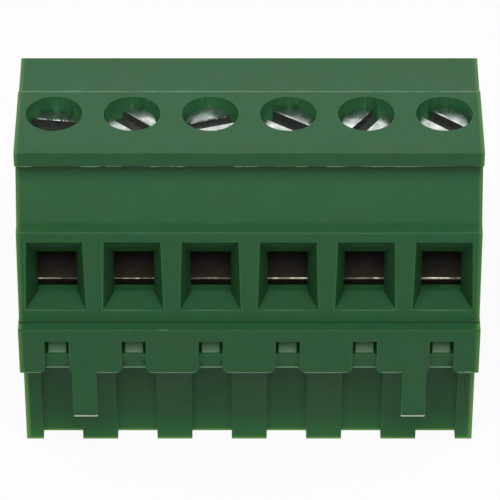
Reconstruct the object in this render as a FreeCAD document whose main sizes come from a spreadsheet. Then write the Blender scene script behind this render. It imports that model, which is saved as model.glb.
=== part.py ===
# Pluggable terminal block: six screw clamps at 5.08 mm pitch, wires enter at the front,
# screwdriver from above, header pins from below.
#
# Frame: millimetres, +X along the row of poles, -Y towards the wire entries, +Z up.
# The origin is at the centre of the underside. Sizes named "..._set" are measured back
# from the front face of the skirt, which is the foremost face of the block.
import FreeCAD, Part

import os
import re

import Sketcher

# Driving sizes

SIZES = [
    # the row
    ("poles", 6, "number of poles"),
    ("pitch", 5.08, "distance from pole to pole"),
    # outside of the terminal housing
    ("row_trim", 0.08, "length of the moulding less than the poles' own width"),
    ("housing_depth", 14.00, "skirt front to back wall"),
    ("mating_height", 8.93, "underside of the plug to the foot of the skirt"),
    ("skirt_height", 3.71, "foot of the skirt to its ledge"),
    ("skirt_wall", 1.10, "wall of the skirt"),
    ("skirt_roof", 0.30, "ledge to the ceiling inside the skirt"),
    ("ledge_width", 0.75, "skirt front to the foot of the wire block"),
    ("block_height", 6.96, "wire block above the ledge"),
    ("block_lean", 0.80, "how far the wire block leans back"),
    ("shelf_width", 0.80, "shelf on top of the wire block"),
    ("shelf_rise", 0.15, "rise of that shelf towards the wall"),
    ("wall_lean", 2.00, "how far the sloping wall runs back"),
    ("block_inset", 0.05, "ends of the moulding above the skirt, set in from its ends"),
    ("lip_set", 2.90, "skirt front to the lip over the wall"),
    ("lip_height", 1.15, "height of the lip's front"),
    ("total_height", 25.15, "underside to the screw face"),
    ("face_end_set", 9.45, "skirt front to the end of the screw face"),
    ("strip_drop", 0.55, "label strip below the screw face"),
    ("edge_radius", 0.10, "moulded outer edges"),
    ("back_radius", 0.20, "top edge of the back wall"),
    # wire funnels
    ("mouth_lead", 0.05, "mouth's plane in front of the foot of the wire block"),
    ("mouth_width", 4.06, "funnel mouth, across"),
    ("mouth_height", 6.11, "funnel mouth, up"),
    ("mouth_foot", 13.70, "bottom edge of the mouth above the underside"),
    ("throat_set", 3.60, "skirt front to the end of the funnel"),
    ("throat_width", 2.65, "wire opening, across"),
    ("throat_height", 3.38, "wire opening, up"),
    ("throat_foot", 12.99, "bottom edge of the wire opening"),
    # screws
    ("screw_set", 7.10, "skirt front to the screw axes"),
    ("well_diameter", 3.68, "screwdriver holes in the screw face"),
    ("head_depth", 0.85, "head below the screw face"),
    ("head_diameter", 3.20, "screw head"),
    ("head_height", 1.20, "screw head"),
    ("head_chamfer", 0.12, "rim of the head"),
    ("slot_width", 1.05, "screwdriver slot"),
    ("slot_depth", 0.70, "screwdriver slot"),
    ("shank_diameter", 2.40, "threaded shank, to the middle of the thread"),
    ("shank_chamfer", 0.30, "end of the shank"),
    ("shank_play", 0.15, "shank in the housing's hole, all round"),
    ("thread_play", 0.05, "shank in the clamp's hole, all round"),
    ("thread_pitch", 0.45, "rise per turn"),
    ("turns", 7, "turns from open to closed"),
    ("seat_thickness", 0.55, "ring of plastic under the screw head"),
    # clamp cages
    ("cage_rest", 0.53, "open clamp above the flange of the insert"),
    ("cage_clearance", 0.28, "closed clamp below the top of its cell"),
    ("cage_width", 3.90, "clamp, across"),
    ("cage_length", 5.20, "clamp, along the wire"),
    ("cage_side", 0.55, "side walls"),
    ("cage_base", 0.60, "plate that lifts the wire"),
    ("cage_top", 1.20, "plate with the thread"),
    ("cage_radius", 0.45, "folded corners"),
    ("cage_play", 0.15, "clamp in its cell, all round"),
    # contacts
    ("strip_thickness", 0.60, "sheet of the contacts"),
    ("contact_width", 2.40, "contact, across"),
    ("contact_play", 0.10, "contact in its chamber, all round"),
    ("tongue_gap", 0.10, "screw tip to the tongue"),
    ("tip_reach", 0.10, "screw tip past the threaded plate of an open clamp"),
    ("tongue_set", 4.70, "skirt front to the end of the tongue"),
    ("leg_gap", 0.60, "back of the clamp to the leg of the contact"),
    ("bridge_foot", 10.50, "underside of the bridge over the fork"),
    ("fork_foot", 1.50, "ends of the two spring arms"),
    ("pin_set", 7.40, "skirt front to the pins of the header"),
    ("pin_size", 1.00, "square pins of the header"),
    ("fork_span", 2.40, "spring arms, outside to outside"),
    ("fork_squeeze", 0.15, "overlap of each arm with a plugged-in pin"),
    ("pinch_foot", 3.20, "height of the contact points"),
    ("pinch_run", 1.40, "length of the bend either side of them"),
    # plug insert
    ("rib_set", 3.41, "skirt front to the ribs"),
    ("rib_gap", 2.69, "grooves between the ribs"),
    ("rib_depth", 0.85, "depth of those grooves"),
    ("plug_depth", 8.05, "ribs to the back of the plug"),
    ("flange_play", 0.10, "insert in the skirt, all round"),
    ("side_wall", 1.00, "end walls of the skirt"),
    ("pin_entry", 1.50, "square holes for the pins"),
    ("entry_mouth", 2.10, "lead-in of those holes"),
    ("entry_lead", 0.45, "depth of the lead-in"),
    ("entry_floor", 1.25, "thickness of the floor under the contacts"),
    # snap windows
    ("groove_width", 1.58, "groove and window in the skirt"),
    ("groove_depth", 0.55, "depth of the groove"),
    ("groove_flare", 0.15, "flare at the foot of the groove, each side"),
    ("flare_height", 0.35, "height of that flare"),
    ("groove_height", 2.68, "foot of the skirt to the top of the window"),
    ("bar_height", 1.14, "bar left under the window"),
    ("hook_width", 1.22, "hooks of the insert"),
    ("hook_play", 0.13, "hook above its bar"),
    ("hook_set", 0.45, "skirt front to the nose of the hook"),
    ("hook_nose", 0.13, "flat nose under the ramp"),
    ("hook_ramp", 0.72, "height of the ramp from its nose to the flange"),
    # locking prongs
    ("prong_width", 1.63, "prong, across"),
    ("prong_length", 3.85, "prong below the skirt"),
    ("prong_spread", 21.86, "from prong to prong"),
    ("prong_thickness", 1.10, "prong, front to back"),
    ("prong_root", 1.00, "prong carried up the face of the skirt"),
]

# How far each slot is turned from the line of poles, in degrees, from the left
SLOT_ANGLES = (-8, -45, 17, -34, 56, -40)

# Places worked out from the sizes

FIRST_POLE = "(-(poles - 1) * pitch / 2)"
ROW_WIDTH = "(poles * pitch - row_trim)"
FRONT = "(-housing_depth / 2)"
SKIRT_TOP = "(mating_height + skirt_height)"
BLOCK_TOP = "(mating_height + skirt_height + block_height)"
LIP_FOOT = "(total_height - lip_height)"
HEAD_TOP = "(total_height - head_depth)"
HEAD_FOOT = "(total_height - head_depth - head_height)"
CELL_TOP = "(total_height - head_depth - head_height - seat_thickness)"
SCREW_Y = "(screw_set - housing_depth / 2)"
PIN_Y = "(pin_set - housing_depth / 2)"
CAGE_BACK = "(screw_set + cage_length / 2 - housing_depth / 2)"
CAGE_FRONT = "(screw_set - cage_length / 2 - housing_depth / 2)"
LEG_FRONT = "(screw_set + cage_length / 2 + leg_gap - housing_depth / 2)"
SKIRT_CEILING = "(mating_height + skirt_height - skirt_roof)"
FLANGE_TOP = "(mating_height + skirt_height - skirt_roof - flange_play)"
CAGE_FOOT = f"({FLANGE_TOP} + cage_rest)"
CAGE_HEAD = f"({CELL_TOP} - cage_clearance - turns * thread_pitch)"
PLATE_FOOT = f"({CAGE_HEAD} - cage_top)"
TIP = f"({PLATE_FOOT} - tip_reach)"
TONGUE_TOP = f"({TIP} - tongue_gap)"
WINDOW_TOP = "(mating_height + groove_height)"
BAR_TOP = "(mating_height + bar_height)"

doc = FreeCAD.newDocument("terminal_block")
sheet = doc.addObject("Spreadsheet::Sheet", "Sizes")
for row, (alias, value, note) in enumerate(SIZES, start=1):
    sheet.set(f"A{row}", note)
    sheet.set(f"B{row}", str(value))
    sheet.setAlias(f"B{row}", alias)
doc.recompute()
ALIASES = {alias for alias, _, _ in SIZES}


def size(alias):
    """The value of one cell of the sheet."""
    return float(sheet.get(alias))


def formula(text):
    """Point each size named in a formula at its cell of the sheet."""
    return re.sub(r"[a-z_]+", lambda word: "Sizes." + word[0] if word[0] in ALIASES else word[0], text)


def bind(thing, prop, text):
    thing.setExpression(prop, formula(text))


# Sketches and features

def body_of(label):
    body = doc.addObject("PartDesign::Body", label)
    body.Label = label
    return body


def origin_part(body, role):
    """One of the body's own origin planes or axes."""
    return next(part for part in body.Origin.OriginFeatures if part.Role == role)


def sketch_on(body, name, role, lift="0"):
    """A sketch on an origin plane, lifted along the plane's normal (-Y for the XZ plane)."""
    drawn = body.newObject("Sketcher::SketchObject", name)
    drawn.AttachmentSupport = [(origin_part(body, role), "")]
    drawn.MapMode = "FlatFace"
    bind(drawn, ".AttachmentOffset.Base.z", lift)
    return drawn


def pin_point(drawn, geometry, end, across, up):
    """Tie one point of a sketch to two formulas, measured from the sketch's origin."""
    for kind, text in (("DistanceX", across), ("DistanceY", up)):
        index = drawn.addConstraint(Sketcher.Constraint(kind, -1, 1, geometry, end, 1.0))
        bind(drawn, f"Constraints[{index}]", text)


def outline(drawn, corners):
    """A closed run of straight lines through corners given as pairs of formulas."""
    count = len(corners)
    lines = [
        drawn.addGeometry(Part.LineSegment(FreeCAD.Vector(i, i * i, 0), FreeCAD.Vector(i + 1, (i + 1) ** 2, 0)))
        for i in range(count)
    ]
    for i, line in enumerate(lines):
        drawn.addConstraint(Sketcher.Constraint("Coincident", line, 2, lines[(i + 1) % count], 1))
    for line, (across, up) in zip(lines, corners):
        pin_point(drawn, line, 1, across, up)


def rectangle(drawn, left, right, low, high):
    outline(drawn, [(left, low), (right, low), (right, high), (left, high)])


def centred_rectangle(drawn, centre, width, low, high):
    rectangle(drawn, f"{centre} - ({width}) / 2", f"{centre} + ({width}) / 2", low, high)


def circle(drawn, across, up, diameter):
    ring = drawn.addGeometry(Part.Circle(FreeCAD.Vector(1, 1, 0), FreeCAD.Vector(0, 0, 1), 1))
    pin_point(drawn, ring, 3, across, up)
    index = drawn.addConstraint(Sketcher.Constraint("Diameter", ring, 2.0))
    bind(drawn, f"Constraints[{index}]", diameter)


def feature(body, kind, drawn, length, symmetric=False, flip=False):
    """A pad or a pocket of one sketch."""
    made = body.newObject(f"PartDesign::{kind}", f"{drawn.Name}_{kind.lower()}")
    made.Profile = drawn
    bind(made, "Length", length)
    made.SideType = "Symmetric" if symmetric else "One side"
    made.Reversed = flip
    return made


def loft_cut(body, name, sketches):
    made = body.newObject("PartDesign::SubtractiveLoft", name)
    made.Profile = sketches[0]
    made.Sections = sketches[1:]
    made.Ruled = True
    return made


def repeat(body, name, originals):
    """Repeat the features of the first pole at every pole."""
    made = body.newObject("PartDesign::LinearPattern", name)
    made.Originals = originals
    made.Direction = (origin_part(body, "X_Axis"), [""])
    made.Mode = "Spacing"
    bind(made, "Offset", "pitch")
    bind(made, "Occurrences", "poles")
    body.Tip = made
    return made


def mirror(body, name, originals, role):
    made = body.newObject("PartDesign::Mirrored", name)
    made.Originals = originals
    made.MirrorPlane = (origin_part(body, role), [""])
    body.Tip = made
    return made


def round_edges(body, name, base, radius, wanted, kind="Fillet"):
    """Fillet or chamfer the edges of the last feature that a test picks."""
    doc.recompute()
    names = [f"Edge{i}" for i, edge in enumerate(base.Shape.Edges, start=1) if wanted(edge)]
    made = body.newObject(f"PartDesign::{kind}", name)
    made.Base = (base, names)
    bind(made, "Radius" if kind == "Fillet" else "Size", radius)
    body.Tip = made
    return made


# Terminal housing: one moulding with the screw face, the wire funnels and the skirt

def along_row(edge, low, high, front, back):
    """True for an edge that runs along X inside a window of heights and of depths."""
    box = edge.BoundBox
    flat = box.YLength < 0.01 and box.ZLength < 0.01
    return flat and low < box.ZMin < high and front < box.YMin < back


def terminal_housing():
    body = body_of("terminal_housing")

    side = sketch_on(body, "side_profile", "YZ_Plane")
    block_y = f"{FRONT} + ledge_width"
    lean_y = f"{block_y} + block_lean"
    shelf_y = f"{lean_y} + shelf_width"
    outline(side, [
        (FRONT, "mating_height"),
        ("housing_depth / 2", "mating_height"),
        ("housing_depth / 2", "total_height - strip_drop"),
        (f"{FRONT} + face_end_set", "total_height - strip_drop"),
        (f"{FRONT} + face_end_set", "total_height"),
        (f"{FRONT} + lip_set", "total_height"),
        (f"{FRONT} + lip_set", LIP_FOOT),
        (f"{shelf_y} + wall_lean", LIP_FOOT),
        (shelf_y, f"{BLOCK_TOP} + shelf_rise"),
        (lean_y, BLOCK_TOP),
        (block_y, SKIRT_TOP),
        (FRONT, SKIRT_TOP),
    ])
    solid = feature(body, "Pad", side, ROW_WIDTH, symmetric=True)

    back = size("housing_depth") / 2
    foot, top = size("mating_height"), size("total_height")
    block_top = foot + size("skirt_height") + size("block_height")
    lip_back = size("lip_set") - back + size("edge_radius")
    solid = round_edges(body, "front_edges", solid, "edge_radius", lambda edge: (
        along_row(edge, foot - 1, block_top + 0.01, -back - 1, lip_back)
        or along_row(edge, top - size("lip_height") - 0.1, top + 1, -back - 1, lip_back)
    ))
    strip = top - size("strip_drop")
    solid = round_edges(body, "back_edge", solid, "back_radius",
                        lambda edge: along_row(edge, strip - 0.1, strip + 0.1, back - 0.1, back + 0.1))

    end = sketch_on(body, "end_inset", "YZ_Plane", f"{ROW_WIDTH} / 2")
    rectangle(end, f"{FRONT} - 1", "housing_depth / 2 + 1", SKIRT_TOP, "total_height + 1")
    inset = feature(body, "Pocket", end, "block_inset")
    mirror(body, "end_insets", [inset], "YZ_Plane")

    hollow = sketch_on(body, "skirt_hollow", "XY_Plane", "mating_height")
    centred_rectangle(hollow, "0", f"{ROW_WIDTH} - 2 * side_wall",
                      f"{FRONT} + skirt_wall", "housing_depth / 2 - skirt_wall")
    feature(body, "Pocket", hollow, "skirt_height - skirt_roof", flip=True)

    cells = []
    cell = sketch_on(body, "clamp_cell", "XY_Plane", SKIRT_CEILING)
    centred_rectangle(cell, FIRST_POLE, "cage_width + 2 * cage_play",
                      f"{CAGE_FRONT} - cage_play", f"{CAGE_BACK} + cage_play")
    cells.append(feature(body, "Pocket", cell, f"{CELL_TOP} - {SKIRT_CEILING}", flip=True))
    rear = sketch_on(body, "contact_slot", "XY_Plane", SKIRT_CEILING)
    centred_rectangle(rear, FIRST_POLE, "contact_width + 2 * contact_play",
                      CAGE_BACK, f"{LEG_FRONT} + strip_thickness + contact_play")
    cells.append(feature(body, "Pocket", rear, f"{TONGUE_TOP} + contact_play - {SKIRT_CEILING}", flip=True))

    well = sketch_on(body, "screw_well", "XY_Plane", "total_height")
    circle(well, FIRST_POLE, SCREW_Y, "well_diameter")
    cells.append(feature(body, "Pocket", well, f"total_height - {HEAD_FOOT}"))
    shank_way = sketch_on(body, "shank_way", "XY_Plane", HEAD_FOOT)
    circle(shank_way, FIRST_POLE, SCREW_Y, "shank_diameter + 2 * shank_play")
    cells.append(feature(body, "Pocket", shank_way, "seat_thickness + cage_play"))

    mouth = sketch_on(body, "funnel_mouth", "XZ_Plane", f"-({block_y} - mouth_lead)")
    centred_rectangle(mouth, FIRST_POLE, "mouth_width", "mouth_foot", "mouth_foot + mouth_height")
    throat = sketch_on(body, "funnel_throat", "XZ_Plane", f"-({FRONT} + throat_set)")
    centred_rectangle(throat, FIRST_POLE, "throat_width", "throat_foot", "throat_foot + throat_height")
    cells.append(loft_cut(body, "funnel", [mouth, throat]))
    tunnel = sketch_on(body, "wire_tunnel", "XZ_Plane", f"-({FRONT} + throat_set)")
    centred_rectangle(tunnel, FIRST_POLE, "throat_width", "throat_foot", "throat_foot + throat_height")
    cells.append(feature(body, "Pocket", tunnel, f"{CAGE_FRONT} - {FRONT} - throat_set"))
    repeat(body, "poles_cut", cells)

    snap_windows(body, "front", f"-{FRONT}", flip=False)
    snap_windows(body, "back", FRONT, flip=True)

    prong = sketch_on(body, "locking_prong", "XZ_Plane", f"-{FRONT}")
    centred_rectangle(prong, "-prong_spread / 2", "prong_width",
                      "mating_height - prong_length", "mating_height + prong_root")
    solid = feature(body, "Pad", prong, "prong_thickness", flip=True)
    solid = mirror(body, "prongs", [solid], "YZ_Plane")
    prong_foot = foot - size("prong_length")
    round_edges(body, "prong_ends", solid, "edge_radius",
                lambda edge: along_row(edge, prong_foot - 0.01, prong_foot + 0.01, -back - 0.01, back))
    return [body]


def snap_windows(body, side, lift, flip):
    """The row of grooves in one wall of the skirt, each with a window over a bar."""
    groove = sketch_on(body, f"{side}_groove", "XZ_Plane", lift)
    half = "groove_width / 2"
    outline(groove, [
        (f"{FIRST_POLE} - {half} - groove_flare", "mating_height"),
        (f"{FIRST_POLE} + {half} + groove_flare", "mating_height"),
        (f"{FIRST_POLE} + {half}", "mating_height + flare_height"),
        (f"{FIRST_POLE} + {half}", WINDOW_TOP),
        (f"{FIRST_POLE} - {half}", WINDOW_TOP),
        (f"{FIRST_POLE} - {half}", "mating_height + flare_height"),
    ])
    groove_cut = feature(body, "Pocket", groove, "groove_depth", flip=flip)
    window = sketch_on(body, f"{side}_window", "XZ_Plane", lift)
    centred_rectangle(window, FIRST_POLE, "groove_width", BAR_TOP, WINDOW_TOP)
    window_cut = feature(body, "Pocket", window, "skirt_wall", flip=flip)
    repeat(body, f"{side}_snaps", [groove_cut, window_cut])


# Plug insert: the part that goes into the header, with a chamber for each contact

def plug_insert():
    body = body_of("plug_insert")
    plug_back = f"{FRONT} + rib_set + plug_depth"

    block = sketch_on(body, "mating_block", "XY_Plane")
    centred_rectangle(block, "0", ROW_WIDTH, f"{FRONT} + rib_set", plug_back)
    solid = feature(body, "Pad", block, "mating_height")

    flange = sketch_on(body, "flange", "XY_Plane", "mating_height")
    centred_rectangle(flange, "0", f"{ROW_WIDTH} - 2 * side_wall - 2 * flange_play",
                      f"{FRONT} + skirt_wall + flange_play", "housing_depth / 2 - skirt_wall - flange_play")
    solid = feature(body, "Pad", flange, f"{FLANGE_TOP} - mating_height")

    cuts = []
    gap = sketch_on(body, "rib_gap_cut", "XY_Plane")
    centred_rectangle(gap, FIRST_POLE, "rib_gap", f"{FRONT} + rib_set", f"{FRONT} + rib_set + rib_depth")
    cuts.append(feature(body, "Pocket", gap, "mating_height", flip=True))

    chamber = sketch_on(body, "fork_chamber", "XY_Plane", "entry_floor")
    centred_rectangle(chamber, FIRST_POLE, "contact_width + 2 * contact_play",
                      f"{PIN_Y} - fork_span / 2 - contact_play", f"{PIN_Y} + fork_span / 2 + contact_play")
    cuts.append(feature(body, "Pocket", chamber, f"{FLANGE_TOP} - entry_floor", flip=True))
    trough = sketch_on(body, "bridge_trough", "XY_Plane", "bridge_foot - contact_play")
    centred_rectangle(trough, FIRST_POLE, "contact_width + 2 * contact_play",
                      PIN_Y, f"{LEG_FRONT} + strip_thickness + contact_play")
    cuts.append(feature(body, "Pocket", trough, f"{FLANGE_TOP} - bridge_foot + contact_play", flip=True))

    entry = sketch_on(body, "pin_entry_cut", "XY_Plane")
    centred_rectangle(entry, FIRST_POLE, "pin_entry", f"{PIN_Y} - pin_entry / 2", f"{PIN_Y} + pin_entry / 2")
    cuts.append(feature(body, "Pocket", entry, "entry_floor", flip=True))
    wide = sketch_on(body, "entry_mouth_outline", "XY_Plane")
    centred_rectangle(wide, FIRST_POLE, "entry_mouth", f"{PIN_Y} - entry_mouth / 2", f"{PIN_Y} + entry_mouth / 2")
    narrow = sketch_on(body, "entry_neck_outline", "XY_Plane", "entry_lead")
    centred_rectangle(narrow, FIRST_POLE, "pin_entry", f"{PIN_Y} - pin_entry / 2", f"{PIN_Y} + pin_entry / 2")
    cuts.append(loft_cut(body, "entry_lead_in", [wide, narrow]))
    repeat(body, "poles_cut_insert", cuts)

    for side, sign in (("front", 1), ("back", -1)):
        hook = sketch_on(body, f"{side}_hook", "YZ_Plane", FIRST_POLE)
        root = f"{sign} * ({FRONT} + skirt_wall + flange_play)"
        nose = f"{sign} * ({FRONT} + hook_set)"
        foot = f"{BAR_TOP} + hook_play"
        outline(hook, [
            (root, foot), (nose, foot), (nose, f"{foot} + hook_nose"), (root, f"{foot} + hook_nose + hook_ramp"),
        ])
        solid = feature(body, "Pad", hook, "hook_width", symmetric=True)
        repeat(body, f"{side}_hooks", [solid])
    return [body]


# Screws: slotted cylinder heads, held under the well by a ring of plastic

def pole_place(body, pole):
    """Put a body on the axis of one pole."""
    bind(body, ".Placement.Base.x", f"{FIRST_POLE} + {pole} * pitch")


def clamp_screw(pole, slot_angle):
    body = body_of(f"clamp_screw_{pole + 1}")
    half = sketch_on(body, f"screw_half_{pole + 1}", "XZ_Plane")
    head, shank = "head_diameter / 2", "shank_diameter / 2"
    outline(half, [
        ("0", TIP), (f"{shank} - shank_chamfer", TIP), (shank, f"{TIP} + shank_chamfer"),
        (shank, HEAD_FOOT), (head, HEAD_FOOT),
        (head, f"{HEAD_TOP} - head_chamfer"), (f"{head} - head_chamfer", HEAD_TOP), ("0", HEAD_TOP),
    ])
    turned = body.newObject("PartDesign::Revolution", f"screw_turned_{pole + 1}")
    turned.Profile = half
    turned.ReferenceAxis = (half, ["V_Axis"])
    turned.Angle = 360
    slot = sketch_on(body, f"screw_slot_{pole + 1}", "XY_Plane", HEAD_TOP)
    centred_rectangle(slot, "0", "head_diameter * 2", "-slot_width / 2", "slot_width / 2")
    feature(body, "Pocket", slot, "slot_depth")
    body.Placement.Rotation = FreeCAD.Rotation(FreeCAD.Vector(0, 0, 1), slot_angle)
    bind(body, ".Placement.Base.y", SCREW_Y)
    pole_place(body, pole)
    return body


# Clamp cages: folded steel sleeves that the screws draw up against the contact tongues

def clamp_cage(pole):
    body = body_of(f"clamp_cage_{pole + 1}")
    tag = f"_{pole + 1}"
    block = sketch_on(body, "sleeve_outside" + tag, "XZ_Plane")
    centred_rectangle(block, "0", "cage_width", CAGE_FOOT, CAGE_HEAD)
    solid = feature(body, "Pad", block, "cage_length", symmetric=True)

    def runs_back(edge):
        box = edge.BoundBox
        return box.XLength < 0.01 and box.ZLength < 0.01

    round_edges(body, "folds" + tag, solid, "cage_radius", runs_back)
    inside = sketch_on(body, "sleeve_inside" + tag, "XZ_Plane")
    centred_rectangle(inside, "0", "cage_width - 2 * cage_side", f"{CAGE_FOOT} + cage_base", PLATE_FOOT)
    feature(body, "Pocket", inside, "cage_length", symmetric=True)
    bore = sketch_on(body, "threaded_bore" + tag, "XY_Plane", CAGE_HEAD)
    circle(bore, "0", "0", "shank_diameter + 2 * thread_play")
    feature(body, "Pocket", bore, "cage_top")
    bind(body, ".Placement.Base.y", SCREW_Y)
    pole_place(body, pole)
    return body


# Contacts: one strip of sheet, folded from the clamp tongue down to a spring fork

def contact(pole):
    body = body_of(f"contact_{pole + 1}")
    strip = sketch_on(body, f"folded_strip_{pole + 1}", "YZ_Plane")
    tongue_end = f"{FRONT} + tongue_set"
    leg_back = f"{LEG_FRONT} + strip_thickness"
    bridge_top = "bridge_foot + strip_thickness"
    tongue_foot = f"{TONGUE_TOP} - strip_thickness"
    arm_out, arm_in = "fork_span / 2", "(fork_span / 2 - strip_thickness)"
    pinch_in = "(pin_size / 2 - fork_squeeze)"
    pinch_out = f"({pinch_in} + strip_thickness)"
    bend_top, bend_foot = "(pinch_foot + pinch_run)", "(pinch_foot - pinch_run)"
    outline(strip, [
        (tongue_end, tongue_foot), (LEG_FRONT, tongue_foot), (LEG_FRONT, bridge_top),
        (f"{PIN_Y} - {arm_out}", bridge_top),
        (f"{PIN_Y} - {arm_out}", bend_top), (f"{PIN_Y} - {pinch_out}", "pinch_foot"),
        (f"{PIN_Y} - {arm_out}", "fork_foot"), (f"{PIN_Y} - {arm_in}", "fork_foot"),
        (f"{PIN_Y} - {pinch_in}", "pinch_foot"), (f"{PIN_Y} - {arm_in}", bend_top),
        (f"{PIN_Y} - {arm_in}", "bridge_foot"), (f"{PIN_Y} + {arm_in}", "bridge_foot"),
        (f"{PIN_Y} + {arm_in}", bend_top), (f"{PIN_Y} + {pinch_in}", "pinch_foot"),
        (f"{PIN_Y} + {arm_in}", "fork_foot"), (f"{PIN_Y} + {arm_out}", "fork_foot"),
        (f"{PIN_Y} + {pinch_out}", "pinch_foot"), (f"{PIN_Y} + {arm_out}", bend_top),
        (f"{PIN_Y} + {arm_out}", "bridge_foot"),
        (leg_back, "bridge_foot"), (leg_back, TONGUE_TOP), (tongue_end, TONGUE_TOP),
    ])
    feature(body, "Pad", strip, "contact_width", symmetric=True)
    pole_place(body, pole)
    return body


# The whole block

pieces = terminal_housing() + plug_insert()
for pole in range(int(size("poles"))):
    pieces.append(clamp_screw(pole, SLOT_ANGLES[pole % len(SLOT_ANGLES)]))
    pieces.append(clamp_cage(pole))
    pieces.append(contact(pole))
doc.recompute()

failed = [thing.Name for thing in doc.Objects if "Invalid" in thing.State or "Error" in thing.State]
failed += [piece.Label for piece in pieces if piece.Shape.isNull() or not piece.Shape.isValid()]
if failed:
    raise SystemExit("failed: " + ", ".join(failed))

os.makedirs("parts", exist_ok=True)
for piece in pieces:
    shape = piece.Shape
    print(f"{piece.Label}: {len(shape.Solids)} solid, {shape.Volume:.2f} mm3, box {shape.BoundBox}")
    shape.exportStep(f"parts/{piece.Label}.step")
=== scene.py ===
# %% [markdown]
# # A pluggable terminal block
# The real thing is a green polyamide moulding with six screw clamps in a row. Wires go in at the front,
# a screwdriver goes in from above, and the plug below goes over the pins of a board header.
# The imported model holds every piece at its real size. This notebook gives the pieces their finish: it
# rounds the moulded edges, cuts the threads, and adds the small marks that moulding and handling leave. Some
# highlights, shade and glows are painted into the colours as well.

import math

import bmesh
import bpy
from mathutils import Matrix, Vector, noise


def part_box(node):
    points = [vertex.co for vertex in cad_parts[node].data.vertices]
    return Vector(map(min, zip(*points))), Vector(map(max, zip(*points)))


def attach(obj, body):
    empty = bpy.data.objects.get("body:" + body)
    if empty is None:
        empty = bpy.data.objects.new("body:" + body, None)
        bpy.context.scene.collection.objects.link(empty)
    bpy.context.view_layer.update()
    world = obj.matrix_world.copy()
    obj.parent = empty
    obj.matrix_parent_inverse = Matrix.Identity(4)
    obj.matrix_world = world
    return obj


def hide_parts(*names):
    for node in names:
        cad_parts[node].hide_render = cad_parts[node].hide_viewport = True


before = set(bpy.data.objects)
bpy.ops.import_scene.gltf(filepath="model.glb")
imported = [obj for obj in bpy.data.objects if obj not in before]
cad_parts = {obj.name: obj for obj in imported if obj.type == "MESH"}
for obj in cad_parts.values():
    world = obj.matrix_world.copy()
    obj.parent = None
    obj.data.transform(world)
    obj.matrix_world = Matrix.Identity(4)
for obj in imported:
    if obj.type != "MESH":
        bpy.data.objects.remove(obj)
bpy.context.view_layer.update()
MM = 0.001
POLES = 6
PITCH_MM = 5.08

# %% [markdown]
# ## Camera
# The photo was taken with a long lens from above and in front. The spacing of the poles shrinks by only
# four percent from the top of the block to its foot, so the camera stood about a quarter of a metre away.
# A camera could be placed by eye, but this one comes from measured spacings, so the edges line up.

# %% Place the camera
IMAGE_WIDTH_PX = 500
FOCAL_LENGTH_PX = 3884
SENSOR_MM = 36.0
LOOK_DOWN_DEG = 39.2
CAMERA_AT_MM = (0.05, -201.33, 177.94)
NEAREST_M, FURTHEST_M = 0.01, 10

camera_data = bpy.data.cameras.new("camera")
camera_data.sensor_width = SENSOR_MM
camera_data.lens = FOCAL_LENGTH_PX / IMAGE_WIDTH_PX * SENSOR_MM
camera_data.clip_start = NEAREST_M
camera_data.clip_end = FURTHEST_M
camera = bpy.data.objects.new("camera", camera_data)
camera.location = Vector(CAMERA_AT_MM) * MM
camera.rotation_euler = (math.radians(90 - LOOK_DOWN_DEG), 0, 0)
bpy.context.scene.collection.objects.link(camera)
bpy.context.scene.camera = camera
bpy.context.scene.view_settings.view_transform = "Standard"
print("lens", round(camera_data.lens, 1), "mm")

# %% [markdown]
# ## Colours and nodes
# Colours are written as the hex codes that a screen shows, and one function turns them into the linear
# values that a shader adds up. One more function adds a node, sets it and links it, so that a material
# reads as a short list of what feeds what.

# %% Colour and node helpers


def linear(code):
    """A hex colour such as "3F7F4B" as linear red, green, blue and alpha."""
    shares = [int(code[i:i + 2], 16) / 255 for i in (0, 2, 4)]
    return [s / 12.92 if s <= 0.04045 else ((s + 0.055) / 1.055) ** 2.4 for s in shares] + [1.0]


def add(tree, kind, settings=None, links=None):
    """Add a node. Settings fill its sockets or its own properties, and links feed its sockets."""
    made = tree.nodes.new(kind)
    for name, value in (settings or {}).items():
        if isinstance(name, int) or name in made.inputs:
            made.inputs[name].default_value = value
        else:
            setattr(made, name, value)
    for name, source in (links or {}).items():
        tree.links.new(source, made.inputs[name])
    return made


def new_material(name, settings):
    """A material with one main shader, and the object coordinates that its patterns follow."""
    material = bpy.data.materials.new(name)
    material.use_nodes = True
    tree = material.node_tree
    tree.nodes.clear()
    shader = add(tree, "ShaderNodeBsdfPrincipled", settings)
    add(tree, "ShaderNodeOutputMaterial", links={"Surface": shader.outputs["BSDF"]})
    place = add(tree, "ShaderNodeTexCoord").outputs["Object"]
    return material, tree, shader, place


print("half grey is", round(linear("808080")[0], 3), "in linear light")

# %% [markdown]
# ## Where a thin edge glows
# A little light soaks into polyamide and comes out again. At the ends of the block, along its back and at
# the feet of the plug, the wall is thin and the ground behind it is white, so the last fraction of a
# millimetre shows yellow-green. Scattering alone is too weak for that at this size, so the glow is also
# drawn: a spot glows where it is close to the block's outline, on a face that doesn't look that way.

# %% Glow of thin edges
# along each axis, where the glow starts and where it is full, in millimetres from the middle or the table
GLOW_MM = {"X": (14.84, 15.17), "Y": (6.80, 7.00), "Z": (0.28, 0.08)}


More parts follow.
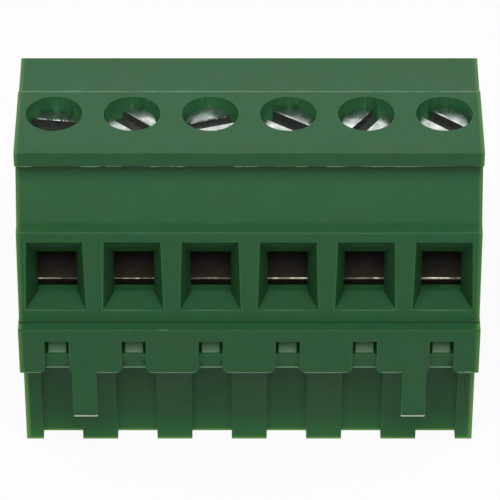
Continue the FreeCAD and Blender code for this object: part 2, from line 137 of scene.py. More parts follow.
def thin_edge_share(tree, spot):
    """How much a spot glows, from 0 to 1."""
    normal = add(tree, "ShaderNodeNewGeometry").outputs["Normal"]
    facing = add(tree, "ShaderNodeSeparateXYZ", links={"Vector": normal})
    either_end = add(tree, "ShaderNodeMath", {"operation": "ABSOLUTE"}, {0: spot.outputs["X"]})
    measures = {"X": either_end.outputs["Value"], "Y": spot.outputs["Y"], "Z": spot.outputs["Z"]}
    share = None
    for axis, (start_mm, full_mm) in GLOW_MM.items():
        near = add(tree, "ShaderNodeMapRange", {"From Min": start_mm * MM, "From Max": full_mm * MM},
                   {"Value": measures[axis]})
        across = add(tree, "ShaderNodeMath", {"operation": "ABSOLUTE"}, {0: facing.outputs[axis]})
        beside = add(tree, "ShaderNodeMath", {"operation": "SUBTRACT", 0: 1.0}, {1: across.outputs["Value"]})
        rim = add(tree, "ShaderNodeMath", {"operation": "MULTIPLY"},
                  {0: near.outputs["Result"], 1: beside.outputs["Value"]})
        if share is not None:
            rim = add(tree, "ShaderNodeMath", {"operation": "MAXIMUM"}, {0: share, 1: rim.outputs["Value"]})
        share = rim.outputs["Value"]
    return share


print("a thin edge glows along", ", ".join(GLOW_MM))

# %% [markdown]
# ## Moulded polyamide
# The housing and the insert are polyamide 6.6, coloured through with a green pigment and moulded in a
# spark-eroded tool. That gives the eye a satin surface with a very fine grain. The pigment isn't stirred in
# evenly, so the green drifts between a bluer and a browner shade over a few millimetres, with paler clouds of
# about a millimetre. The grain scatters most of the shine, so the specular level is well under the usual 0.5.
# One function makes the plastic, and its greens and shine are changed for the worn edges, and where a highlight,
# a sheen, light or a glow is painted into the colour.

# %% Polyamide
POLYAMIDE_IOR = 1.53
MIDDLE_OF_NOISE = {"From Min": 0.35, "From Max": 0.65}
# sizes of the drift, of the clouds and of the spark-eroded grain, and how deep the grain is
DRIFT_MM, CLOUD_MM, GRAIN_MM, GRAIN_DEEP_MM = 3.2, 1.1, 0.10, 0.006
# how much light soaks in, and how far, with red and green going further than blue
SOAK_SHARE, SOAK_MM, SOAK_BY_COLOUR = 0.35, 0.35, (0.9, 1.0, 0.25)
SMOOTHEST, ROUGHEST = 0.42, 0.54
# the painted glow of a thin wall with the white table behind it, paler towards the table, and how high above the
# table it reaches
FOOT_GREEN, FOOT_GLOW_MM = "3C8A45", 2.2
# the greens of the painted glow on thin edges, and the brighter one on the plug's edges
RIM_GREEN, FOOT_RIM_GREEN = "5E8E45", "78AE58"


def moulded_polyamide(name, greens, gloss_level=0.18, foot_glow=0.0, rim_green=RIM_GREEN):
    """Polyamide in three close greens, bluer, browner and paler. Thin walls near the table may get a painted
    glow.
    """
    bluer, browner, paler = (linear(green) for green in greens)
    material, tree, shader, place = new_material(name, {
        "IOR": POLYAMIDE_IOR, "Specular IOR Level": gloss_level, "Subsurface Weight": SOAK_SHARE,
        "Subsurface Radius": SOAK_BY_COLOUR, "Subsurface Scale": SOAK_MM * MM})
    drift = add(tree, "ShaderNodeTexNoise", {"Scale": 1 / (DRIFT_MM * MM), "Detail": 1.0}, {"Vector": place})
    drift_share = add(tree, "ShaderNodeMapRange", MIDDLE_OF_NOISE, {"Value": drift.outputs["Fac"]})
    hue = add(tree, "ShaderNodeMix", {"data_type": "RGBA", "A": bluer, "B": browner},
              {"Factor": drift_share.outputs["Result"]})
    cloud = add(tree, "ShaderNodeTexNoise", {"Scale": 1 / (CLOUD_MM * MM), "Detail": 3.0}, {"Vector": place})
    cloud_share = add(tree, "ShaderNodeMapRange", {"From Min": 0.4, "From Max": 0.75, "To Max": 0.5},
                      {"Value": cloud.outputs["Fac"]})
    colour = add(tree, "ShaderNodeMix", {"data_type": "RGBA", "B": paler},
                 {"Factor": cloud_share.outputs["Result"], "A": hue.outputs["Result"]})
    spot = add(tree, "ShaderNodeSeparateXYZ", links={"Vector": place})
    low = add(tree, "ShaderNodeMapRange", {"From Min": FOOT_GLOW_MM * MM, "From Max": 0.0, "To Max": foot_glow},
              {"Value": spot.outputs["Z"]})
    lit_foot = add(tree, "ShaderNodeMix", {"data_type": "RGBA", "B": linear(FOOT_GREEN)},
                   {"Factor": low.outputs["Result"], "A": colour.outputs["Result"]})
    glowing = add(tree, "ShaderNodeMix", {"data_type": "RGBA", "B": linear(rim_green)},
                  {"Factor": thin_edge_share(tree, spot), "A": lit_foot.outputs["Result"]})
    tree.links.new(glowing.outputs["Result"], shader.inputs["Base Color"])
    gloss = add(tree, "ShaderNodeMapRange",
                {"From Min": 0.3, "From Max": 0.7, "To Min": SMOOTHEST, "To Max": ROUGHEST},
                {"Value": cloud.outputs["Fac"]})
    tree.links.new(gloss.outputs["Result"], shader.inputs["Roughness"])
    grain = add(tree, "ShaderNodeTexNoise", {"Scale": 1 / (GRAIN_MM * MM), "Detail": 1.0}, {"Vector": place})
    bump = add(tree, "ShaderNodeBump", {"Strength": 0.2, "Distance": GRAIN_DEEP_MM * MM},
               {"Height": grain.outputs["Fac"]})
    tree.links.new(bump.outputs["Normal"], shader.inputs["Normal"])
    return material


print("grain of", GRAIN_MM, "mm, clouds of", CLOUD_MM, "mm")

# %% Kinds of polyamide
WALL_GREENS = ("285D38", "2D5C34", "2E6238")
EDGE_GREENS = ("30663E", "34683C", "366C41")
LIT_FLOOR_GREENS = ("386A46", "3B6A43", "3E6E47")
RAMP_SHEEN_GREENS = ("4C7353", "517350", "557957")

# the plain wall, satin and dark green
polyamide = moulded_polyamide("moulded_polyamide", WALL_GREENS)
# the plug's thin walls, with a painted glow at their feet where the white table shines through
thin_polyamide = moulded_polyamide("thin_moulded_polyamide", WALL_GREENS, gloss_level=0.14, foot_glow=0.45,
                                   rim_green=FOOT_RIM_GREEN)
# rounded edges, a little worn by handling and painted paler as a highlight, so that each edge is drawn by a soft
# line
worn_edge_highlight = moulded_polyamide("worn_polyamide_edge_highlight", EDGE_GREENS)
# the floors of the funnels, painted a paler, greyer green as painted light on them
lit_funnel_floor = moulded_polyamide("painted_light_funnel_floor", LIT_FLOOR_GREENS)
# the ramps of the hooks, painted a paler grey-green as a painted sheen of the light on them
ramp_sheen = moulded_polyamide("painted_sheen_on_ramps", RAMP_SHEEN_GREENS)
print("polyamide:", len(polyamide.node_tree.nodes), "nodes")

# %% [markdown]
# ## Flash, painted highlights and painted shade
# Where the two halves of the tool meet, a skin of plastic a few hundredths of a millimetre thick is left
# standing, called flash. It is rough and thin, so it looks paler than the walls. The feet of the skirt and of
# the prongs get a painted highlight in pale greens, and the narrow rounds along the ledge and the shelf get
# painted shade in dark greens. All of them are rough and change from spot to spot, with no grain of the tool, so
# they share one simple material. The painted shade has almost no shine, since any would look grey.

# %% Rough materials
SPOT_MM = 0.6
TORN_ROUGHNESS = 0.6


def torn_polyamide(name, green, pale, gloss_level=0.5):
    """Rough polyamide that changes from spot to spot."""
    material, tree, shader, place = new_material(name, {
        "IOR": POLYAMIDE_IOR, "Specular IOR Level": gloss_level, "Roughness": TORN_ROUGHNESS})
    spots = add(tree, "ShaderNodeTexNoise", {"Scale": 1 / (SPOT_MM * MM), "Detail": 3.0}, {"Vector": place})
    colour = add(tree, "ShaderNodeMix", {"data_type": "RGBA", "A": linear(green), "B": linear(pale)},
                 {"Factor": spots.outputs["Fac"]})
    tree.links.new(colour.outputs["Result"], shader.inputs["Base Color"])
    return material


# torn plastic, which shows as pale specks
torn_edge = torn_polyamide("torn_polyamide_edge", "5B8860", "7FA07C")
# the skirt's foot, painted pale as a highlight that shows as a fine light line, and the flash, which has the
# same tone
flash_and_foot_highlight = torn_polyamide("flash_and_painted_foot_highlight", "5C8260", "6E9270")
# the ends of the prongs, painted almost white as a highlight
prong_highlight = torn_polyamide("painted_highlight_prong_end", "B4CCB0", "D8E6D4")
# painted shade in a corner, which draws a dark line along it
painted_corner_shade = torn_polyamide("painted_shade_in_the_corner", "20402A", "25472E", gloss_level=0.03)
# lighter painted shade along the front of the ledge, through which the green still shows
painted_ledge_shade = torn_polyamide("painted_shade_on_the_ledge", "335936", "3B653E", gloss_level=0.03)
print("spots of", SPOT_MM, "mm")

# %% [markdown]
# ## Metals
# The screws are turned steel with a bright zinc plate, which mirrors the wall of its well on one side and the
# white room on the other. The slot is painted dark as painted shade. The clamps are folded from plated sheet
# that has dulled to brown inside the block; their cut ends get painted shade, darker still, and the rounded edge
# between the two gets a painted highlight. The contacts are tinned copper alloy.
# Each metal has soft patches where it is duller, and fine scratches that run along the row. Where oxide covers
# part of it, and in the painted shade of the slot, it is only partly metallic.

# %% Metals
DULL_PATCH, BRIGHT_PATCH = 1.4, 0.7
SCRATCH_STRETCH = (0.12, 1.0, 1.0)


def plated(name, light, dark, roughness, patch_mm, scratch_mm, scratch_deep_mm, metallic=1.0):
    """A plated metal with duller patches, and fine scratches along X."""
    material, tree, shader, place = new_material(name, {"Metallic": metallic})
    patches = add(tree, "ShaderNodeTexNoise", {"Scale": 1 / (patch_mm * MM), "Detail": 3.0}, {"Vector": place})
    share = add(tree, "ShaderNodeMapRange", MIDDLE_OF_NOISE, {"Value": patches.outputs["Fac"]})
    colour = add(tree, "ShaderNodeMix", {"data_type": "RGBA", "A": linear(dark), "B": linear(light)},
                 {"Factor": share.outputs["Result"]})
    tree.links.new(colour.outputs["Result"], shader.inputs["Base Color"])
    gloss = add(tree, "ShaderNodeMapRange",
                {"To Min": roughness * DULL_PATCH, "To Max": roughness * BRIGHT_PATCH},
                {"Value": share.outputs["Result"]})
    tree.links.new(gloss.outputs["Result"], shader.inputs["Roughness"])
    stretch = add(tree, "ShaderNodeMapping", {"Scale": SCRATCH_STRETCH}, {"Vector": place})
    scratches = add(tree, "ShaderNodeTexNoise", {"Scale": 1 / (scratch_mm * MM), "Detail": 4.0},
                    {"Vector": stretch.outputs["Vector"]})
    bump = add(tree, "ShaderNodeBump", {"Strength": 0.6, "Distance": scratch_deep_mm * MM},
               {"Height": scratches.outputs["Fac"]})
    tree.links.new(bump.outputs["Normal"], shader.inputs["Normal"])
    return material


print("patches from", DULL_PATCH, "to", BRIGHT_PATCH, "times the roughness")

# %% Kinds of metal
# bright plate, a soft mirror with a cold white
zinc_plate = plated("bright_zinc_plate", "BEC6C0", "98A29E", 0.28, 0.7, 0.12, 0.0015)
# the slot, in painted shade, almost black and hardly a mirror at all
painted_slot_shade = plated("painted_shade_in_slot", "4C5149", "353831", 0.50, 0.5, 0.10, 0.012, metallic=0.4)
# the clamp's flat faces, a dim brown
clamp_steel = plated("browned_clamp_sheet", "5C554D", "453F39", 0.50, 1.2, 0.20, 0.010, metallic=0.5)
# the clamp's cut ends, front and back, in painted shade, darker and rougher
painted_end_shade = plated("painted_shade_sheet_end", "3E3832", "2C2723", 0.60, 0.8, 0.20, 0.010)
# the clamp's rounded edges, painted bright as a highlight, the thin line of light in each wire opening
painted_edge_highlight = plated("painted_highlight_sheet_edge", "928D7F", "5C584D", 0.48, 0.5, 0.10, 0.008)
# the contacts, a warm pale grey
tinned_strip = plated("tinned_copper_alloy", "CFCBC2", "A9A59B", 0.33, 1.0, 0.20, 0.010)
print("materials:", len(bpy.data.materials))

# %% [markdown]
# ## Moulded edges
# No moulding has a knife edge: the tool's corners round every edge by less than a tenth of a millimetre, and
# that is where the light catches. The solids leave those small rounds out, so each moulding is copied,
# its triangles are joined into flat faces again, and a bevel rounds what is still sharp. The corners on the
# inside of an angle stay as they are, and so does the long edge of the ledge, which is crisp. Every face is
# shaded smooth up to the edges, so that the screwdriver wells look round and not cut from flats, and large
# faces are given more say in the shading than small ones, so that walls stay flat.

# %% Copy a solid
WELD_MM = 0.02
FLAT_DEG = 1
CUT_MM = 0.01


def joined_copy(node, cuts_mm=()):
    """The triangles of a CAD node, joined into flat faces again, and cut across at some places on X."""
    shape = bmesh.new()
    shape.from_mesh(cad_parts[node].data)
    bmesh.ops.remove_doubles(shape, verts=shape.verts, dist=WELD_MM * MM)
    bmesh.ops.dissolve_limit(shape, angle_limit=math.radians(FLAT_DEG), verts=shape.verts, edges=shape.edges)
    for cut in cuts_mm:
        bmesh.ops.bisect_plane(shape, geom=shape.verts[:] + shape.edges[:] + shape.faces[:], dist=CUT_MM * MM,
                               plane_co=(cut * MM, 0, 0), plane_no=(1, 0, 0))
    return shape


def join_into(shape, other):
    """Add one bmesh to another, and let it go."""
    carrier = bpy.data.meshes.new("carrier")
    other.to_mesh(carrier)
    other.free()
    shape.from_mesh(carrier)
    bpy.data.meshes.remove(carrier)


print("the housing's solid has", len(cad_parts["terminal_housing"].data.polygons), "triangles")

# %% Choose the edges to round
SHARP_DEG = 38
LEDGE_MM = 12.64
LEDGE_REACH_MM = 0.1
ROOM_FOR_ROUND = 0.8


def face_width(face):
    """How wide a long face is, in millimetres."""
    return face.calc_area() / max(edge.calc_length() for edge in face.edges) / MM


def weigh_edges(shape, round_mm):
    """Sharp outward edges get the round, but not the ledge, nor where a face beside is too narrow for it."""
    weight = shape.edges.layers.float.new("bevel_weight_edge")
    width = {face: face_width(face) for face in shape.faces}
    for edge in shape.edges:
        if edge.is_manifold and edge.calc_face_angle_signed(0) > math.radians(SHARP_DEG):
            on_ledge = all(abs(vert.co.z / MM - LEDGE_MM) < LEDGE_REACH_MM for vert in edge.verts)
            narrowest = min(width[face] for face in edge.link_faces)
            edge[weight] = not on_ledge and narrowest > ROOM_FOR_ROUND * round_mm


# %% Finish a piece


def round_edges(piece, round_mm, slot):
    """Bevel the edges that have a weight, in the piece's own material slot, and keep the walls flat."""
    bevel = piece.modifiers.new("small_round", "BEVEL")
    bevel.width = round_mm * MM
    bevel.segments = 2
    bevel.limit_method = "WEIGHT"
    bevel.use_clamp_overlap = False
    bevel.material = slot
    flat = piece.modifiers.new("flat_walls", "WEIGHTED_NORMAL")
    flat.weight = 100
    flat.keep_sharp = True


def finished(shape, name, materials, body, nodes=(), round_mm=0.0):
    """Turn a bmesh into a piece that rides on a body. The last material goes on the rounds, if there are any."""
    if round_mm:
        weigh_edges(shape, round_mm)
    for face in shape.faces:
        face.smooth = True
    mesh = bpy.data.meshes.new(name)
    for material in materials:
        mesh.materials.append(material)
    shape.to_mesh(mesh)
    shape.free()
    mesh.set_sharp_from_angle(angle=math.radians(SHARP_DEG))
    piece = bpy.data.objects.new(name, mesh)
    bpy.context.scene.collection.objects.link(piece)
    if round_mm:
        round_edges(piece, round_mm, len(materials) - 1)
    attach(piece, body)
    if nodes:
        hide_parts(*nodes)
    return piece


# %% [markdown]
# ## Housing and insert
# The housing is the upper moulding, and the insert is the plug that snaps into it from below. Both come from
# their solids. The faces that run the whole length of the row are cut across at each pole, because one face
# with that many corners is shaded unevenly. A face gets painted shade, painted light or a painted sheen by where
# it is and where it looks, which keeps the marks in place if a size is changed a little.

# %% Housing
MOULD_ROUND_MM = 0.07
POLE_CENTRES_MM = [(pole - (POLES - 1) / 2) * PITCH_MM for pole in range(POLES)]
BETWEEN_MM = [-9.3, -5.08, 0, 5.08, 9.3]
SHELF_MM, SHELF_BACK_MM, LEDGE_FRONT_MM = 19.60, -5.00, -6.60
FUNNEL_FLOOR_TOP_MM = 14.0
NARROW_MM, SHADE_REACH_MM = 0.2, 0.12
SLANT, SLOPE, UPWARD = 0.15, 0.05, 0.9
WALL, CORNER_SHADE, LEDGE_SHADE, LIT_FUNNEL_FLOOR = range(4)


def housing_finish(face):
    """Which of the housing's materials a face gets."""
    middle = face.calc_center_median() / MM
    slanted = face.normal.y < -SLANT and face.normal.z > SLANT and face_width(face) < NARROW_MM
    over_ledge = abs(middle.z - LEDGE_MM) < SHADE_REACH_MM
    over_shelf = abs(middle.z - SHELF_MM) < SHADE_REACH_MM and middle.y > SHELF_BACK_MM
    # narrow rounds that look up and forward along the ledge and the shelf get painted shade, lighter on the
    # ledge's front
    if slanted and (over_ledge or over_shelf):
        return LEDGE_SHADE if over_ledge and middle.y < LEDGE_FRONT_MM else CORNER_SHADE
    # the floors of the funnels get painted light, a paler green
    slopes_in = face.normal.z > UPWARD and face.normal.y > SLOPE
    funnel_floor = slopes_in and middle.z < FUNNEL_FLOOR_TOP_MM
    return LIT_FUNNEL_FLOOR if funnel_floor else WALL


moulding = joined_copy("terminal_housing", POLE_CENTRES_MM + BETWEEN_MM)
moulding.normal_update()
for face in moulding.faces:
    face.material_index = housing_finish(face)
housing = finished(moulding, "housing_moulding", [polyamide, painted_corner_shade, painted_ledge_shade, lit_funnel_floor, worn_edge_highlight],
                   "housing", ["terminal_housing"], MOULD_ROUND_MM)
print("housing faces:", len(housing.data.polygons))

# %% Insert
INSERT_ROUND_MM = 0.045
RAMP_SLANT = 0.3

hooked = joined_copy("plug_insert", POLE_CENTRES_MM + BETWEEN_MM)
hooked.normal_update()
for face in hooked.faces:
    # the ramps of the hooks, found by where they look, get the painted sheen
    ramp_of_a_hook = abs(face.normal.y) > RAMP_SLANT and face.normal.z > RAMP_SLANT
    face.material_index = int(ramp_of_a_hook)
insert = finished(hooked, "insert_moulding", [thin_polyamide, ramp_sheen, worn_edge_highlight], "housing",
                  ["plug_insert"], INSERT_ROUND_MM)
print("insert faces:", len(insert.data.polygons))

# %% [markdown]
# ## Clamps and contacts
# A clamp is a sleeve folded from sheet, with a threaded plate on top. Its flat faces are browned, and its cut
# ends, front and back, get painted shade, duller and darker. The sheared edge between them is rounded and gets a
# painted highlight, which on the base plate is the line of light that shows in each wire opening. The faces are
# told apart by where they look, and the bevel puts the painted highlight on the rounds. A contact is a strip
# folded the same way, all tinned.

# %% Clamps and contacts
FOLD_ROUND_MM = 0.07
FRONT_OR_BACK = 0.9


def clamp_sleeve(pole):
    """The clamp of one pole, which rides on its own sliding body."""
    shape = joined_copy(f"clamp_cage_{pole}")
    shape.normal_update()
    for face in shape.faces:
        # faces that look to the front or back take the painted shade
        face.material_index = 1 if abs(face.normal.y) > FRONT_OR_BACK else 0
    return finished(shape, f"clamp_sleeve_{pole}", [clamp_steel, painted_end_shade, painted_edge_highlight], f"cage_{pole}",
                    [f"clamp_cage_{pole}"], FOLD_ROUND_MM)


for pole in range(1, POLES + 1):
    sleeve = clamp_sleeve(pole)
    strip = finished(joined_copy(f"contact_{pole}"), f"contact_strip_{pole}", [tinned_strip], "housing",
                     [f"contact_{pole}"], FOLD_ROUND_MM)
print("a clamp has", len(sleeve.data.polygons), "faces, a contact", len(strip.data.polygons))

# %% [markdown]
# ## Screws
# Each screw is turned from bar: a cylinder head with a wide slot, and a shank with a rolled thread. No two are
# quite alike. Each was left at another angle, its slot is a little wider or narrower, and the lands beside the
# slot are dished by a few degrees, so each mirrors another part of the well. The head starts as a disc cut in
# three by the sides of the slot, and raising the two outer pieces leaves the slot between them. It could be
# cut from a cylinder with a boolean, but raised faces keep their edges clean for the bevel.

# %% Screw sizes
HEAD_MM = 3.20
HEAD_HEIGHT_MM = 1.20
SLOT_DEPTH_MM = 0.70
RIM_ROUND_MM = 0.10
SLOT_END_ROUND_MM = 0.06
HEAD_STEPS = 64
TINY_MM, SAME_MM, NEAR_MM, INSIDE_RIM_MM = 1e-5, 1e-4, 1e-3, 0.01
WELL_ABOVE_FLOOR_MM, LEVEL_MM = 0.3, 0.1
SLOTS = [
    # turned by (degrees), width and offset from the axis (mm), dish of the far and the near land (degrees, down
    # towards the slot where it is above 0 and down towards the rim where it is below), and how much taller than
    # the thinnest head it was turned (mm)
    {"turn": -8, "width": 1.10, "offset": -0.20, "dish": (-8, 0), "taller": 0.0},
    {"turn": -43, "width": 1.25, "offset": 0.00, "dish": (10, 0), "taller": 0.14},
    {"turn": 17, "width": 1.00, "offset": -0.05, "dish": (10, 0), "taller": 0.14},
    {"turn": -34, "width": 1.05, "offset": 0.00, "dish": (2, 0), "taller": 0.07},
    {"turn": 56, "width": 1.02, "offset": 0.00, "dish": (5, 0), "taller": 0.07},
    {"turn": -40, "width": 1.06, "offset": 0.00, "dish": (6, 0), "taller": 0.14},
]
print("slots from", min(slot["width"] for slot in SLOTS), "to", max(slot["width"] for slot in SLOTS), "mm wide")

# %% Blank of a head


def on_rim(vert):
    """Whether a point of the head is out on its rim."""
    return vert.co.xy.length > HEAD_MM / 2 - NEAR_MM


def head_blank(slot_floor, far, near):
    """A disc at the slot's floor, cut along the sides of the slot, with the skirt of the head below it."""
    shape = bmesh.new()
    bmesh.ops.create_circle(shape, cap_ends=True, segments=HEAD_STEPS, radius=HEAD_MM / 2,
                            matrix=Matrix.Translation((0, 0, slot_floor)))
    for side in (far, near):
        bmesh.ops.bisect_plane(shape, geom=shape.verts[:] + shape.edges[:] + shape.faces[:], dist=TINY_MM,
                               plane_co=(0, side, 0), plane_no=(0, 1, 0))
    rim = [edge for edge in shape.edges if edge.is_boundary]
    skirt = bmesh.ops.extrude_edge_only(shape, edges=rim)
    foot = [part for part in skirt["geom"] if isinstance(part, bmesh.types.BMVert)]
    bmesh.ops.translate(shape, vec=(0, 0, SLOT_DEPTH_MM - HEAD_HEIGHT_MM), verts=foot)
    bmesh.ops.contextual_create(shape, geom=[e for e in skirt["geom"] if isinstance(e, bmesh.types.BMEdge)
                                             and all(v in foot for v in e.verts)])
    return shape


def raise_land(shape, slot_floor, side, edge_y, dish):
    """Raise the part of the disc on one side of the slot, and tilt its top by the dish."""
    land = [face for face in shape.faces
            if face.normal.z ** 2 > 0.9 and side * (face.calc_center_median().y - edge_y) > 0
            and face.calc_center_median().z > slot_floor - SAME_MM]
    raised = bmesh.ops.extrude_face_region(shape, geom=land)
    tops = [part for part in raised["geom"] if isinstance(part, bmesh.types.BMVert)]
    bmesh.ops.translate(shape, vec=(0, 0, SLOT_DEPTH_MM), verts=tops)
    for vert in tops:
        run = HEAD_MM / 2 - side * vert.co.y if dish > 0 else side * (vert.co.y - edge_y)
        vert.co.z -= run * math.tan(math.radians(abs(dish)))
    bmesh.ops.delete(shape, geom=land, context="FACES_ONLY")


# %% Head of a screw


def screw_head(top_mm, slot):
    """A slotted head about the Z axis, slot along X, with its top at a height."""
    slot_floor = top_mm - SLOT_DEPTH_MM
    far, near = slot["offset"] + slot["width"] / 2, slot["offset"] - slot["width"] / 2
    shape = head_blank(slot_floor, far, near)
    raise_land(shape, slot_floor, 1, far, slot["dish"][0])
    raise_land(shape, slot_floor, -1, near, slot["dish"][1])
    rims = [edge for edge in shape.edges
            if all(v.co.z > slot_floor + WELL_ABOVE_FLOOR_MM and on_rim(v) for v in edge.verts)
            and abs(edge.verts[0].co.z - edge.verts[1].co.z) < LEVEL_MM]
    bmesh.ops.bevel(shape, geom=rims, offset=RIM_ROUND_MM, segments=2, profile=0.5, affect="EDGES", material=-1)
    bmesh.ops.recalc_face_normals(shape, faces=shape.faces)
    # the faces inside the slot take the painted shade
    for face in shape.faces:
        middle = face.calc_center_median()
        inside = (near - NEAR_MM < middle.y < far + NEAR_MM
                  and slot_floor - NEAR_MM < middle.z < top_mm - NEAR_MM)
        face.material_index = 1 if inside and middle.xy.length < HEAD_MM / 2 - INSIDE_RIM_MM else 0
    ends = [edge for edge in shape.edges
            if all(abs(v.co.z - slot_floor) < SAME_MM and on_rim(v) for v in edge.verts)
            and any(face.material_index for face in edge.link_faces)]
    rounds = bmesh.ops.bevel(shape, geom=ends, offset=SLOT_END_ROUND_MM, segments=2, profile=0.5,
                             affect="EDGES", material=-1)
    for face in rounds["faces"]:
        face.material_index = 0
    return shape


# %% [markdown]
# ## Thread
# The thread is hidden in the block, but a screw is also looked at on its own, so its thread is real geometry
# and not a bump. It is one zigzag line, spun once round the axis while it climbs by one pitch, so its turns
# meet and can be merged. Two planes then cut it to length, and the cuts are filled.

# %% Thread of a screw
THREAD_PITCH_MM = 0.45
THREAD_CREST_MM = 2.48
THREAD_ROOT_MM = 2.02
THREAD_STEPS = 40
CREST_FROM, CREST_TO = 0.44, 0.56


def screw_thread(top_mm, tip_mm):
    """A right-hand thread about the Z axis, closed at both ends."""
    shape = bmesh.new()
    turns = int((top_mm - tip_mm) / THREAD_PITCH_MM) + 3
    start = tip_mm - THREAD_PITCH_MM
    corners = []
    for turn in range(turns):
        foot = start + turn * THREAD_PITCH_MM
        corners.append(shape.verts.new((THREAD_ROOT_MM / 2, 0, foot)))
        corners.append(shape.verts.new((THREAD_CREST_MM / 2, 0, foot + CREST_FROM * THREAD_PITCH_MM)))
        corners.append(shape.verts.new((THREAD_CREST_MM / 2, 0, foot + CREST_TO * THREAD_PITCH_MM)))
    flanks = [shape.edges.new(pair) for pair in zip(corners, corners[1:])]
    bmesh.ops.spin(shape, geom=corners + flanks, cent=(0, 0, 0), axis=(0, 0, 1), angle=math.tau,
                   dvec=(0, 0, THREAD_PITCH_MM / THREAD_STEPS), steps=THREAD_STEPS, use_merge=False)
    bmesh.ops.remove_doubles(shape, verts=shape.verts, dist=SAME_MM)
    for height, up in ((top_mm, 1), (tip_mm, -1)):
        bmesh.ops.bisect_plane(shape, geom=shape.verts[:] + shape.edges[:] + shape.faces[:], dist=TINY_MM,
                               plane_co=(0, 0, height), plane_no=(0, 0, up), clear_outer=True)
    bmesh.ops.holes_fill(shape, edges=shape.edges)
    bmesh.ops.recalc_face_normals(shape, faces=shape.faces)
    return shape


print("the thread is", round((THREAD_CREST_MM - THREAD_ROOT_MM) / 2, 2), "mm deep")

# %% Six screws


def clamp_screw(pole):
    """The screw of one pole, in place of its plain solid, on its own turning body."""
    low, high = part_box(f"clamp_screw_{pole}")
    top_mm, tip_mm = high[2] / MM, low[2] / MM
    slot = SLOTS[pole - 1]
    shape = screw_head(top_mm + slot["taller"], slot)
    thread = screw_thread(top_mm - HEAD_HEIGHT_MM + THREAD_PITCH_MM / 4, tip_mm)
    join_into(shape, thread)
    turn = Matrix.Rotation(math.radians(slot["turn"]), 4, "Z")
    place = Matrix.Translation(((low[0] + high[0]) / 2, (low[1] + high[1]) / 2, 0))
    bmesh.ops.transform(shape, matrix=place @ Matrix.Scale(MM, 4) @ turn, verts=shape.verts)
    return finished(shape, f"screw_{pole}", [zinc_plate, painted_slot_shade], f"screw_{pole}",
                    [f"clamp_screw_{pole}"])


for pole in range(1, POLES + 1):
    screw = clamp_screw(pole)
print("a screw has", len(screw.data.polygons), "faces")

# %% [markdown]
# ## Flash and marks
# A line of flash is a long thin bar, cut into short lengths, whose points are pushed about by smooth noise.
# Where the noise is high the flash is tall, and where it is low the bar sinks into the edge and disappears.
# It could be painted on, but real geometry catches the light as flash does, and is kept in the piece's mesh.

# %% A thin uneven bar
FLASH_STEP_MM = 0.12
# waves a millimetre of the slow and the fast swell, and of the wander
SLOW_WAVES, FAST_WAVES, WANDER_WAVES = 0.9, 4, 0.5
USUALLY_SUNK, THINNEST = 0.4, 0.15


def add_bar(shape, start_mm, end_mm, thick_mm, seed, wander_mm=0.0, bite=1.0, ragged=1.0):
    """A bar between two points, thin where its noise is low. More bite makes more teeth a millimetre."""
    start, run = Vector(start_mm), Vector(end_mm) - Vector(start_mm)
    bar = bmesh.new()
    bmesh.ops.create_cube(bar, size=1.0)
    long_edges = [edge for edge in bar.edges if abs(edge.verts[0].co.x - edge.verts[1].co.x) > 0.5]
    bmesh.ops.subdivide_edges(bar, edges=long_edges, cuts=max(1, int(run.length * bite / FLASH_STEP_MM)),
                              use_grid_fill=True)
    along = run.normalized().to_track_quat("X", "Z").to_matrix()
    for vert in bar.verts:
        travel = (vert.co.x + 0.5) * run.length
        swell = (noise.noise(Vector((travel * SLOW_WAVES * bite, seed, 0)))
                 + 0.5 * bite * noise.noise(Vector((travel * FAST_WAVES * bite, seed, 3))))
        height = thick_mm * min(1.0, max(THINNEST, 1 - ragged * (USUALLY_SUNK - swell)))
        drift = wander_mm * noise.noise(Vector((travel * WANDER_WAVES, seed, 7)))
        across = Vector((0, vert.co.y * height + drift, vert.co.z * height))
        vert.co = start + run.normalized() * travel + along @ across
    join_into(shape, bar)


def finished_bars(shape, name, material, body="housing"):
    """Bars drawn in millimetres become one piece in metres."""
    bmesh.ops.recalc_face_normals(shape, faces=shape.faces)
    bmesh.ops.scale(shape, vec=(MM, MM, MM), verts=shape.verts)
    return finished(shape, name, [material], body)


# %% Flash on two edges
LOW, HIGH = (Vector(corner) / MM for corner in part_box("terminal_housing"))
HALF_ROW_MM = HIGH.x - 0.06
FRONT_MM = LOW.y
TOP_MM = HIGH.z
STEP_MM, STEP_FLASH_MM, STEP_SUNK_MM = FRONT_MM + 9.45, 0.12, 0.065
LIP_MM, LIP_FLASH_MM, LIP_HEIGHT_MM = FRONT_MM + 2.96, 0.09, 1.15

edges = bmesh.new()
step_z = TOP_MM - STEP_SUNK_MM
add_bar(edges, (-HALF_ROW_MM, STEP_MM, step_z), (HALF_ROW_MM, STEP_MM, step_z), STEP_FLASH_MM, seed=11.3,
        wander_mm=0.01, ragged=0.5)
lip_z = TOP_MM - LIP_HEIGHT_MM
add_bar(edges, (-HALF_ROW_MM, LIP_MM, lip_z), (HALF_ROW_MM, LIP_MM, lip_z), LIP_FLASH_MM, seed=4.7,
        wander_mm=0.03, ragged=1.6)
flash = finished_bars(edges, "flash_on_edges", flash_and_foot_highlight)
print("flash on a housing from", tuple(round(v, 2) for v in LOW), "to", tuple(round(v, 2) for v in HIGH))

# %% [markdown]
# ## Highlights on the feet
# The skirt goes down over the header's wall, and the prongs go into it. Their feet catch the light from the
# table below, and that highlight is painted on in a pale green. Each foot is a bar along the rounded end of the
# wall.
# The skirt's foot is broken by the six grooves and by the prongs, and behind each groove the bar under the
# window has a foot of its own, set back by the depth of the groove.

# %% Feet of the skirt and of the window bars
GROOVE_MM, GROOVE_DEEP_MM = 2.20, 0.55
PRONG_AT_MM, PRONG_MM, PRONG_FOOT_MM = 10.93, 1.63, 5.08
SKIRT_FOOT_MM = LEDGE_MM - 3.71
FOOT_MM, BAR_FOOT_MM, BAR_HALF_MM, PROUD_MM = 0.14, 0.12, 0.76, 0.01
HARDLY_RAGGED = 0.15

